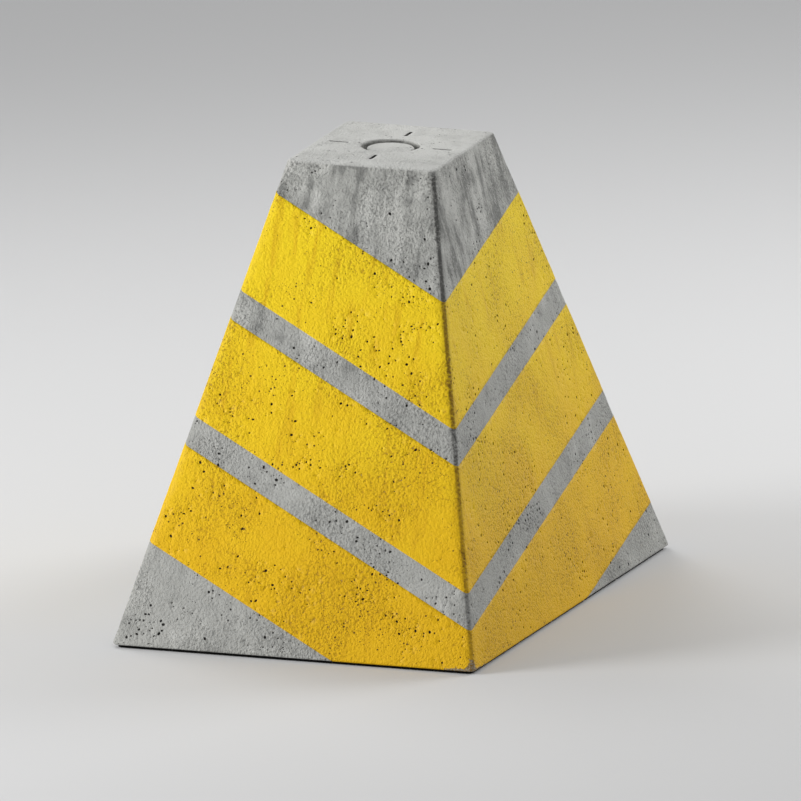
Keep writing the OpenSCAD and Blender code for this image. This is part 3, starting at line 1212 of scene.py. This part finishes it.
@dataclass
class Casting:
    """The concrete body, with its swells, air holes, rounded arrises and chips.

    Attributes:
        shape: The block's outline.
        recess: The recess and the slots.
        marking: The bands, which the skin is cut along.
        pitch: Distance between points on a face.
        row: Distance between points on an arris.
        holes_per_square_metre: Air holes on the four faces.
        top_holes_per_square_metre: Air holes on the top.
        top_hole: Radius of the largest one on the top.
        top_pitch: Distance between points on the top, as a share of the pitch.
        seed: Seeds every random draw.
        worn_along: How far the worn paint reaches from a corner.
        worn_up: How far it reaches up the face.
        swells: Height in millimetres, waves for each metre and shift of each layer of swell.
        sunk: How far in millimetres the swells lie inside the outline.
        ragged: Waves for each metre and shift of the two layers of chips.
        chip_mm: Depth of the chips on an arris.
        blunt_mm: Depth by which an arris is blunted between the chips.
        arris_width: How far chips and the painted shade reach from an arris, as a share of the set-back.
        rim_share: How deep the chips on the top's edge are, as a share of those on an arris.
        arris_shade_elsewhere: How dark the painted shade on the other three arrises is, as a share of the
            front-right one.
        arris_shade_at_foot: How dark the painted shade on an arris is at its foot, as a share of its upper
            part.
        arris_shade_full_at: The height from which the painted shade on an arris is full.
        apart: How far the long faces', the short faces' and the top's streaks lie apart.
    """

    shape: BlockShape
    recess: Recess
    marking: Marking
    pitch: float = 0.0106
    row: float = 0.0055
    holes_per_square_metre: float = 1000.0
    top_holes_per_square_metre: float = 420.0
    top_hole: float = 2.4 * MM
    top_pitch: float = 0.7
    seed: int = 11
    worn_along: float = 0.060
    worn_up: float = 0.0045
    swells: tuple[Point, ...] = ((0.50, 6.0, 1.0), (0.30, 17.0, 5.0), (0.26, 48.0, 9.0), (0.16, 95.0, 12.0))
    sunk: float = 0.35
    ragged: tuple[tuple[float, float], ...] = ((62.0, 21.0), (140.0, 25.0))
    chip_mm: float = 1.3
    blunt_mm: float = 0.2
    arris_width: float = 1.15
    rim_share: float = 0.6
    arris_shade_elsewhere: float = 0.15
    arris_shade_at_foot: float = 0.45
    arris_shade_full_at: float = 0.6
    apart: Point = (3.1, 7.3, 12.0)

    def build(self, concrete: bpy.types.Material) -> bpy.types.Object:
        """Makes the casting.

        Args:
            concrete: Its material.

        Returns:
            The finished object.
        """
        soup = Soup()
        foot, head = self.shape.foot + self.shape.edge, self.shape.head - self.shape.brim
        rows = list(np.linspace(foot, head, int((head - foot) / self.row) + 1))
        low_shares = {s: self.shares(s, foot) for s in Side}
        high_shares = {s: self.shares(s, head) for s in Side}
        for side in Side:
            self.face(soup, side, rows, low_shares[side], high_shares[side])
            self.arris(soup, side, rows)
        self.base(soup, low_shares)
        self.top(soup, high_shares)
        made = mesh_object("concrete_casting", soup.points, soup.faces, concrete)
        set_attribute(made.data, "pit", soup.pit)
        set_attribute(made.data, "calm", soup.calm)
        set_attribute(made.data, "recess_shade", soup.recess_shade)
        self.refine(made)
        self.displace(made)
        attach(made, "block")
        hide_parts("concrete_body")
        LOG.info("%s: %d faces", made.name, len(made.data.polygons))
        return made

    def shares(self, side: Side, z: float) -> list[float]:
        """Returns where a face's border points lie at a height, from -1 to 1."""
        count = max(int(2 * self.shape.flat(side, z) / self.pitch), 2)
        return [float(v) for v in np.linspace(-1, 1, count + 1)]

    def face(
        self, soup: Soup, side: Side, rows: Sequence[float], low: Sequence[float], high: Sequence[float]
    ) -> None:
        """Adds one sloping face.

        Args:
            soup: What it is added to.
            side: The face.
            rows: The heights of the points on its two arrises.
            low: Where its lower border's points lie, from -1 to 1.
            high: Where its upper border's points lie, from -1 to 1.
        """
        slant = self.shape.slant(side)
        foot, head = rows[0], rows[-1]
        wide, narrow = self.shape.flat(side, foot), self.shape.flat(side, head)
        tall = (head - foot) * slant

        def reach(u: Any) -> Any:
            """Returns how far the face reaches from its middle line at the distance u up it."""
            return wide + (narrow - wide) * u / tall

        def fits(s: float, u: float, margin: float) -> bool:
            """Says whether a hole with a margin round it lies on the face."""
            return margin < u < tall - margin and abs(s) < reach(u) - margin

        def clear(places: np.ndarray) -> np.ndarray:
            """Says which places lie well inside the face."""
            s, u = places[:, 0], places[:, 1]
            margin = 0.55 * self.pitch
            return (u > margin) & (u < tall - margin) & (np.abs(s) < reach(u) - margin)

        outline = [(share * wide, 0.0) for share in low]
        outline += [(self.shape.flat(side, z), (z - foot) * slant) for z in rows[1:]]
        outline += [(share * narrow, tall) for share in reversed(high[:-1])]
        outline += [(-self.shape.flat(side, z), (z - foot) * slant) for z in reversed(rows[1:-1])]
        holes = AirHoles(self.holes_per_square_metre, self.seed + side.value)
        holes.scatter(fits, (2 * wide, tall))
        grid_seed = self.seed + 10 + side.value
        places, faces, depths = filled([outline], self.pitch, holes, clear, grid_seed)
        points = [self.shape.at(side, s, foot + u / slant) for s, u in places]
        first = soup.add(points, depths)[0]
        soup.faces.extend(tuple(first + v for v in f) for f in faces)

    def arris(self, soup: Soup, side: Side, rows: Sequence[float]) -> None:
        """Adds the rounded arris at the right end of a face.

        Args:
            soup: What it is added to.
            side: The face.
            rows: The heights of its points.
        """
        other = Side((side.value + 1) % 4)
        last: list[int] = []
        for z in rows:
            line = [self.shape.at(side, self.shape.flat(side, z), z)]
            line += self.shape.arris(side, z)
            line.append(self.shape.at(other, -self.shape.flat(other, z), z))
            now = soup.add(line)
            if last:
                soup.bridge(last, now, closed=False)
            last = now

    def base(self, soup: Soup, shares: Mapping[Side, Sequence[float]]) -> None:
        """Adds the rounded foot and the flat underside.

        Args:
            soup: What they are added to.
            shares: Where each face's points lie, from -1 to 1.
        """
        leg, foot = self.shape.edge, self.shape.foot
        turn = [math.radians(angle) for angle in (0, 20, 40, 60, 90)]
        steps = [(leg * (1 - math.sin(angle)), leg * (1 - math.cos(angle))) for angle in turn]
        steps.append((0.0, 1.6 * leg))
        rings = [soup.add(self.shape.ring(foot + up, inset, shares), calm=0.5) for up, inset in steps]
        for upper, lower in zip(rings, rings[1:]):
            soup.bridge(lower, upper)
        soup.faces.append(tuple(reversed(rings[-1])))

    def top(self, soup: Soup, shares: Mapping[Side, Sequence[float]]) -> None:
        """Adds the rounded upper edge and the top face, which leaves the recess and the slots free.

        Args:
            soup: What they are added to.
            shares: Where each face's points lie, from -1 to 1.
        """
        leg, head = self.shape.brim, self.shape.head
        steps = ((leg, 0.0), (0.62 * leg, 0.1 * leg), (0.25 * leg, 0.45 * leg), (0.06 * leg, 0.85 * leg))
        rings = [self.shape.ring(head - down, inset, shares) for down, inset in (*steps, (0.0, 1.3 * leg))]
        numbers = [soup.add(ring) for ring in rings]
        for lower, upper in zip(numbers, numbers[1:]):
            soup.bridge(lower, upper)
        free = self.recess.build(soup, head)
        half_x = max(p[0] for p in rings[-1])
        half_y = max(p[1] for p in rings[-1])
        limit, recess = 0.5 * self.pitch, self.recess

        def clear(places: np.ndarray, margin: float = limit) -> np.ndarray:
            """Says which places lie well inside the top face, off the recess and the slots."""
            x, y = np.abs(places[:, 0]), np.abs(places[:, 1])
            kept = (x < half_x - margin) & (y < half_y - margin)
            kept &= np.hypot(x, y) > recess.radius + recess.rim + margin
            for a, b in ((x, y), (y, x)):
                slot = (a > recess.slot_start - margin) & (a < recess.slot_end + margin)
                kept &= ~(slot & (b < recess.slot_half + margin))
            return kept

        def fits(s: float, u: float, margin: float) -> bool:
            """Says whether a hole with a margin round it lies on the top face."""
            return bool(clear(np.array([(s, u - half_y)]), margin)[0])

        holes = AirHoles(self.top_holes_per_square_metre, self.seed + 20, largest=self.top_hole)
        holes.scatter(fits, (2 * half_x, 2 * half_y))
        holes.holes = [(s, u - half_y, r) for s, u, r in holes.holes]
        outlines = [[p[:2] for p in rings[-1]], *free]
        places, faces, depths = filled(outlines, self.top_pitch * self.pitch, holes, clear, self.seed + 22)
        first = soup.add([(x, y, head) for x, y in places], depths)[0]
        centres = np.array([places[list(f)].mean(0) for f in faces])
        kept = clear(centres, 0.0002) | ~self.in_hole(centres)
        soup.faces.extend(tuple(first + v for v in f) for f, keep in zip(faces, kept) if keep)

    def in_hole(self, places: np.ndarray) -> np.ndarray:
        """Returns which places on the top face lie in the recess or in a slot."""
        x, y = np.abs(places[:, 0]), np.abs(places[:, 1])
        recess = self.recess
        found = np.hypot(x, y) < (recess.radius + recess.rim) * math.cos(math.pi / recess.around)
        half = recess.slot_half + recess.draft
        inner, outer = recess.slot_start + recess.slot_half, recess.slot_end - recess.slot_half
        for a, b in ((x, y), (y, x)):
            along = np.clip(a, inner, outer)
            found |= np.hypot(a - along, b) < half * 0.995
        return found

    def refine(self, made: bpy.types.Object) -> None:
        """Joins the patches into one skin, cuts it along the bands and turns its faces outwards."""
        held = bmesh.new()
        held.from_mesh(made.data)
        bmesh.ops.remove_doubles(held, verts=held.verts[:], dist=TOUCHING)
        self.marking.cut(held)
        bmesh.ops.recalc_face_normals(held, faces=held.faces[:])
        held.to_mesh(made.data)
        held.free()
        made.data.shade_smooth()

    def displace(self, made: bpy.types.Object) -> None:
        """Gives the skin its swells, air holes and chips, and stores the numbers the finishes read."""
        mesh = made.data
        points, normals = coordinates(mesh), coordinates(mesh, "normal")
        pit, calm = get_attribute(mesh, "pit"), get_attribute(mesh, "calm")
        set_attribute(mesh, "level", self.marking.level(points))
        set_attribute(mesh, "height", points[:, 2])
        wave = sum(tall * swell(points, scale, shift) for tall, scale, shift in self.swells)
        corner = self.near_arris(points)
        broad, fine = (swell(points, scale, shift) for scale, shift in self.ragged)
        rough = np.clip(broad + 0.35 * fine - 0.12, 0, None)
        chip = corner * (self.chip_mm * rough + self.blunt_mm * np.abs(swell(points, 30.0, 29.0)))
        depth = (wave - self.sunk) * (1 - calm) - chip * (1 - calm) - pit
        low = np.clip((points[:, 2] - self.shape.foot) / self.shape.edge, 0, 1)
        moved = points + normals * (depth * low * MM)[:, None]
        mesh.vertices.foreach_set("co", moved.astype(np.float32).ravel())
        # The arris attribute holds the painted shade along the arrises.
        set_attribute(mesh, "arris", self.painted_arris_shade(points))
        set_attribute(mesh, "worn", self.worn(points))
        for name, values in zip(("across", "down"), self.unrolled(points)):
            set_attribute(mesh, name, values)
        mesh.update()

    def from_faces(self, points: np.ndarray) -> tuple[np.ndarray, np.ndarray]:
        """Returns how far each point lies inside the long and the short faces, measured level."""
        half_x, half_y = self.shape.halves(points[:, 2])
        return half_x - np.abs(points[:, 0]), half_y - np.abs(points[:, 1])

    def painted_arris_shade(self, points: np.ndarray) -> np.ndarray:
        """Returns the painted shade along the arrises: most in their middle, near the top and on the
        front-right one, and 0 on the faces.
        """
        off_x, off_y = self.from_faces(points)
        reach = self.arris_width * self.shape.set_back - np.maximum(off_x, off_y)
        line = np.clip(reach / (0.5 * self.shape.set_back), 0, 1)
        inside = np.clip((self.shape.head - points[:, 2]) / (2.0 * self.shape.edge) - 0.2, 0, 1)
        # Painted shade: full on the front-right arris, weaker on the others and towards the foot.
        shade_by_arris = np.where((points[:, 0] > 0) & (points[:, 1] < 0), 1.0, self.arris_shade_elsewhere)
        raised = np.clip(points[:, 2] / self.arris_shade_full_at, 0, 1)
        return line * inside * shade_by_arris * (self.arris_shade_at_foot + (1 - self.arris_shade_at_foot) * raised)

    def worn(self, points: np.ndarray) -> np.ndarray:
        """Returns 1 where the paint is worn off, at the foot of two opposite corners, and 0 elsewhere."""
        off_x, off_y = self.from_faces(points)
        along, up = np.maximum(off_x, off_y), points[:, 2] - self.shape.foot
        ragged = 0.35 * swell(points, 70.0, 33.0)
        foot = np.clip(1.5 - along / self.worn_along, 0, 1) * np.clip(1.6 - up / self.worn_up, 0, 1)
        arris = np.clip(1.9 - along / self.shape.set_back, 0, 1)
        arris *= np.clip(1.3 - up / (5 * self.worn_up), 0, 1)
        knocked = points[:, 0] * points[:, 1] < 0
        return np.where(knocked, np.clip(np.maximum(foot, arris) * (1 + ragged), 0, 1), 0.0)

    def unrolled(self, points: np.ndarray) -> tuple[np.ndarray, np.ndarray]:
        """Returns how far each point lies across and down its own face, with a face's own offset."""
        off_x, off_y = self.from_faces(points)
        x, y, z = points.T
        on_long, on_short, on_deck = self.apart
        across = np.where(off_x < off_y, y + on_long * np.sign(x), x + on_short * np.sign(y))
        on_top = z > self.shape.head - 0.4 * self.shape.brim
        return np.where(on_top, y + on_deck, across), np.where(on_top, 1.6 * x, z)

    def near_arris(self, points: np.ndarray) -> np.ndarray:
        """Returns 1 on an arris or the top's edge, and 0 from some millimetres away."""
        off_x, off_y = self.from_faces(points)
        width = self.arris_width * self.shape.set_back
        arris = np.clip(1.25 - np.maximum(off_x, off_y) / width, 0, 1)
        top = self.shape.head - points[:, 2]
        rim = np.clip(1.2 - np.maximum(np.minimum(off_x, off_y), top) / self.shape.edge, 0, 1)
        return np.maximum(arris, self.rim_share * rim)


# ---------------------------------------------------------------------------------------------
# The plug, the anchor and the pieces that stay as they are
# ---------------------------------------------------------------------------------------------


@dataclass
class Turned:
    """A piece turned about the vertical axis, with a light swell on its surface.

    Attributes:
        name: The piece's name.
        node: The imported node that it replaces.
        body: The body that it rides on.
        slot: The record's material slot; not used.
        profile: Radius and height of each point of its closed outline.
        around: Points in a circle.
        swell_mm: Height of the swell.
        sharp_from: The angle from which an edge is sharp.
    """

    name: str
    node: str
    body: str
    slot: str
    profile: Sequence[tuple[float, float]]
    around: int = 96
    swell_mm: float = 0.0
    sharp_from: float = math.radians(50)

    def build(self, finish: bpy.types.Material) -> bpy.types.Object:
        """Makes the piece from its closed profile.

        Args:
            finish: Its material.

        Returns:
            The finished object.
        """
        soup = Soup()
        rows = []
        for radius, z in self.profile:
            turn = [math.tau * i / self.around for i in range(self.around)]
            if radius < 1e-6:
                rows.append([soup.add([(0.0, 0.0, z)])[0]])
            else:
                rows.append(soup.add([(radius * math.cos(a), radius * math.sin(a), z) for a in turn]))
        for lower, upper in zip(rows, rows[1:] + rows[:1]):
            if len(lower) == 1 and len(upper) == 1:
                continue
            if len(lower) == 1:
                lower = lower * self.around
            if len(upper) == 1:
                upper = upper * self.around
            soup.bridge(lower, upper)
        faces = [tuple(dict.fromkeys(f)) for f in soup.faces]
        made = mesh_object(self.name, soup.points, faces, finish)
        held = bmesh.new()
        held.from_mesh(made.data)
        bmesh.ops.recalc_face_normals(held, faces=held.faces[:])
        held.to_mesh(made.data)
        held.free()
        if self.swell_mm:
            points, normals = coordinates(made.data), coordinates(made.data, "normal")
            wave = swell(points, 60.0, 3.0) + 0.6 * swell(points, 170.0, 7.0) - 1.0
            moved = points + normals * (wave * self.swell_mm * MM)[:, None]
            made.data.vertices.foreach_set("co", moved.astype(np.float32).ravel())
        made.data.shade_smooth()
        made.data.set_sharp_from_angle(angle=self.sharp_from)
        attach(made, self.body)
        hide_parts(self.node)
        LOG.info("%s: %d faces", made.name, len(made.data.polygons))
        return made


@dataclass
class PlugAssembly:
    """The plug that closes the recess, with the rubber ring in its skirt.

    Attributes:
        hollow: Radius of the hollow under the plug.
        skirt_wall: Thickness of the skirt.
        groove: Depth of the ring's groove.
        ring_height: Height of the ring.
        ring_bulge: How far the ring's outer side bulges.
        round_edge: Radius of the plug's upper edge.
        break_edge: Size of the chamfer on its lower edge.
        skirt_depth: How far the skirt reaches below the ledge.
        swell_mm: Height of the swell on its surface.
    """

    hollow: float = 0.030
    skirt_wall: float = 0.006
    groove: float = 0.003
    ring_height: float = 0.004
    ring_bulge: float = 0.0011
    round_edge: float = 0.0016
    break_edge: float = 0.0008
    skirt_depth: float = 0.013
    swell_mm: float = 0.22

    def build(self, mortar: bpy.types.Material, rubber: bpy.types.Material) -> None:
        """Makes both pieces.

        Args:
            mortar: The plug's material.
            rubber: The ring's material.
        """
        low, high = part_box("recess_plug")
        ring_low, ring_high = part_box("plug_ring")
        cap, skirt, bend = high.x, self.hollow + self.skirt_wall, self.round_edge
        ledge = low.z + self.skirt_depth
        turn = (1.57, 1.1, 0.6, 0.15)
        edge = [(cap - bend * (1 - math.sin(a)), high.z - bend * (1 - math.cos(a))) for a in turn]
        deck = [(r * MM, high.z) for r in (38, 35, 32, 28, 24, 20, 16, 12, 8, 4, 0)]
        profile = [(0.0, ledge), (self.hollow, ledge), (self.hollow, low.z), (skirt, low.z)]
        profile += [(skirt, ring_low.z), (skirt - self.groove, ring_low.z)]
        profile += [(skirt - self.groove, ring_high.z)]
        profile += [(skirt, ring_high.z), (skirt, ledge)]
        profile += [(cap - self.break_edge, ledge), (cap, ledge + self.break_edge)]
        profile += [(cap, ledge + 0.006), (cap, ledge + 0.011), *edge, *deck]
        Turned(
            "recess_plug_cast", "recess_plug", "plug", "plug_mortar", profile, swell_mm=self.swell_mm
        ).build(mortar)
        outer, inner = ring_high.x, skirt - self.groove
        middle, half = (ring_low.z + ring_high.z) / 2, self.ring_height / 2
        bulge, turn = self.ring_bulge, np.linspace(-math.pi / 2, math.pi / 2, 9)
        lip = [(outer - bulge + bulge * math.cos(a), middle + half * math.sin(a)) for a in turn]
        profile = [(inner, middle - half), *lip, (inner, middle + half)]
        Turned("plug_ring_moulded", "plug_ring", "plug", "ring_rubber", profile).build(rubber)


@dataclass
class AnchorForging:
    """The round-headed anchor: a domed head over a necked shank, and a wide foot.

    Attributes:
        shank: Radius of the shank.
        foot_height: Height of the foot's straight part.
        head: Radius of the head.
        neck: Radius beyond the shank's and height above the foot of the fillet's points.
        dome: The angles at which the head's curve starts and ends.
        around: Points in a circle.
    """

    shank: float = 0.007
    foot_height: float = 0.008
    head: float = 0.0125
    neck: tuple[tuple[float, float], ...] = ((0.004, 0.0125), (0.001, 0.016), (0.0, 0.022))
    dome: tuple[float, float] = (-0.95, 1.25)
    around: int = 64

    def build(self, steel: bpy.types.Material) -> None:
        """Makes the anchor.

        Args:
            steel: Its material.
        """
        low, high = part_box("lifting_anchor")
        foot, head = high.x, self.head
        centre = high.z - head
        dome = [(head * math.cos(a), centre + head * math.sin(a)) for a in np.linspace(*self.dome, 15)]
        profile = [(0.0, low.z), (foot - 0.001, low.z), (foot, low.z + 0.001)]
        profile.append((foot, low.z + self.foot_height))
        profile += [(self.shank + out, low.z + up) for out, up in self.neck]
        profile += [(self.shank, z) for z in np.linspace(low.z + 0.04, centre - 0.014, 8)]
        profile += [(self.shank + 0.0006, centre - 0.0108), *dome, (0.0, dome[-1][1])]
        Turned(
            "lifting_anchor_forged", "lifting_anchor", "block", "anchor_steel", profile, around=self.around
        ).build(steel)


@dataclass
class KeptNodes:
    """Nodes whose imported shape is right, and which only take a finish.

    Attributes:
        finishes: The material of each node.
    """

    finishes: Mapping[str, bpy.types.Material]

    def dress(self, nodes: Mapping[str, bpy.types.Object]) -> None:
        """Gives each node its material.

        Args:
            nodes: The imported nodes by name.
        """
        for name, finish in self.finishes.items():
            held = nodes[name]
            if not held.material_slots:
                held.data.materials.append(finish)
            for slot in held.material_slots:
                slot.link = "OBJECT"
                slot.material = finish
            LOG.info("%s: kept", name)


# ---------------------------------------------------------------------------------------------
# The studio
# ---------------------------------------------------------------------------------------------


@dataclass
class AreaLamp:
    """One soft box, aimed at the block.

    Attributes:
        name: Its name.
        place: Where it hangs.
        size: Its diameter.
        power: Its power in watts.
        spread: The angle that its light is held to.
        aim: The point that it faces.
    """

    name: str
    place: Point
    size: float
    power: float
    spread: float = math.pi
    aim: Point = (0.0, 0.0, 0.35)

    def build(self) -> None:
        """Adds the lamp to the scene."""
        data = bpy.data.lights.new(self.name, "AREA")
        data.shape = "DISK"
        data.size, data.energy, data.spread = self.size, self.power, self.spread
        lamp = bpy.data.objects.new(self.name, data)
        bpy.context.scene.collection.objects.link(lamp)
        lamp.location = self.place
        away = Vector(self.place) - Vector(self.aim)
        lamp.rotation_euler = away.to_track_quat("Z", "Y").to_euler()


@dataclass
class Studio:
    """Pale floor, soft lamps and an even surround.

    Attributes:
        lamps: The lamps.
        surround: The surround's tint.
        strength: The surround's strength.
        reach: Half the floor's size.
    """

    lamps: Sequence[AreaLamp] = (
        AreaLamp("key", (-3.75, -2.8, 1.75), 2.2, 184.0),
        AreaLamp("top_light", (-2.75, 2.25, 3.5), 2.5, 26.0, spread=1.9),
        AreaLamp("back_light", (2.4, 3.4, 2.4), 2.4, 101.0),
    )
    surround: Point = (0.985, 0.99, 1.0)
    strength: float = 0.53
    reach: float = 60.0

    def build(self) -> None:
        """Makes the floor, the lamps and the surround."""
        corners = [(x * self.reach, y * self.reach, 0.0) for x, y in ((-1, -1), (1, -1), (1, 1), (-1, 1))]
        floor = mesh_object("studio_floor", corners, [(0, 1, 2, 3)], StudioFinish().material())
        for lamp in self.lamps:
            lamp.build()
        world = bpy.data.worlds.new("surround")
        world.use_nodes = True
        back = world.node_tree.nodes["Background"]
        back.inputs["Color"].default_value = (*self.surround, 1.0)
        back.inputs["Strength"].default_value = self.strength
        bpy.context.scene.world = world
        bpy.context.scene.view_settings.view_transform = "Standard"


@dataclass
class Viewpoint:
    """A level camera without perspective.

    Attributes:
        azimuth: Its angle from the front, towards the right.
        elevation: Its angle above the floor.
        width: The width that it takes in.
        right: How far its middle lies to the right of the origin, as it sees it.
        up: How far its middle lies above the origin, as it sees it.
        distance: Its distance from the origin.
    """

    azimuth: float = math.radians(18.9)
    elevation: float = math.radians(12.88)
    width: float = 1.3983
    right: float = 0.0172
    up: float = 0.3442
    distance: float = 6.0

    def build(self) -> None:
        """Adds the camera and makes it the scene's own."""
        sin_a, cos_a = math.sin(self.azimuth), math.cos(self.azimuth)
        sin_e, cos_e = math.sin(self.elevation), math.cos(self.elevation)
        back = Vector((sin_a * cos_e, -cos_a * cos_e, sin_e))
        right = Vector((cos_a, sin_a, 0.0))
        up = back.cross(right)
        data = bpy.data.cameras.new("camera")
        data.type = "ORTHO"
        data.ortho_scale = self.width
        data.clip_start, data.clip_end = 0.05, 200.0
        camera = bpy.data.objects.new("camera", data)
        place = right * self.right + up * self.up + back * self.distance
        turned = Matrix((right, up, back)).transposed().to_4x4()
        camera.matrix_world = Matrix.Translation(place) @ turned
        bpy.context.scene.collection.objects.link(camera)
        bpy.context.scene.camera = camera


def main() -> None:
    """Builds every sub-assembly in order."""
    logging.basicConfig(level=logging.INFO, format="%(name)s: %(message)s")
    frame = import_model()
    Viewpoint().build()
    Studio().build()
    shape, recess, marking = BlockShape(), Recess(), Marking()
    casting = Casting(shape, recess, marking).build(ConcreteFinish().material())
    marking.build(casting, shape, MarkingPaint().material())
    pad_rubber = PlainFinish(
        name="pad_rubber",
        tone=(0.004, 0.004, 0.004),
        dust=(0.012, 0.011, 0.01),
        grain=600.0,
        relief_mm=0.25,
        roughness=0.9,
        gloss=0.08,
    )
    ring_rubber = PlainFinish(
        name="ring_rubber",
        tone=(0.018, 0.018, 0.02),
        dust=(0.06, 0.06, 0.06),
        grain=900.0,
        relief_mm=0.04,
        roughness=0.6,
    )
    mortar = PlainFinish(
        name="spacer_mortar",
        tone=(0.36, 0.355, 0.34),
        dust=(0.50, 0.49, 0.47),
        grain=500.0,
        relief_mm=0.3,
        roughness=0.85,
    )
    plastic = PlainFinish(
        name="spacer_plastic",
        tone=(0.035, 0.04, 0.045),
        dust=(0.10, 0.10, 0.10),
        grain=300.0,
        relief_mm=0.08,
        roughness=0.45,
    )
    cap = ConcreteFinish(name="plug_mortar", float_level=0.780)
    PlugAssembly().build(cap.material(), ring_rubber.material())
    AnchorForging().build(SteelFinish("anchor_steel", Metal.GALVANISED).material())
    bar_steel = SteelFinish("bar_steel", Metal.RUSTED).material()
    slots = {part["node"]: part["material_slot"] for part in frame["record"]["subparts"]}
    finishes = {node: bar_steel for node, slot in slots.items() if slot == "bar_steel"}
    finishes["base_pad"] = pad_rubber.material()
    finishes["base_spacers"] = mortar.material()
    finishes["wheel_spacers"] = plastic.material()
    KeptNodes(finishes).dress(frame["nodes"])


if __name__ == "__main__":
    main()
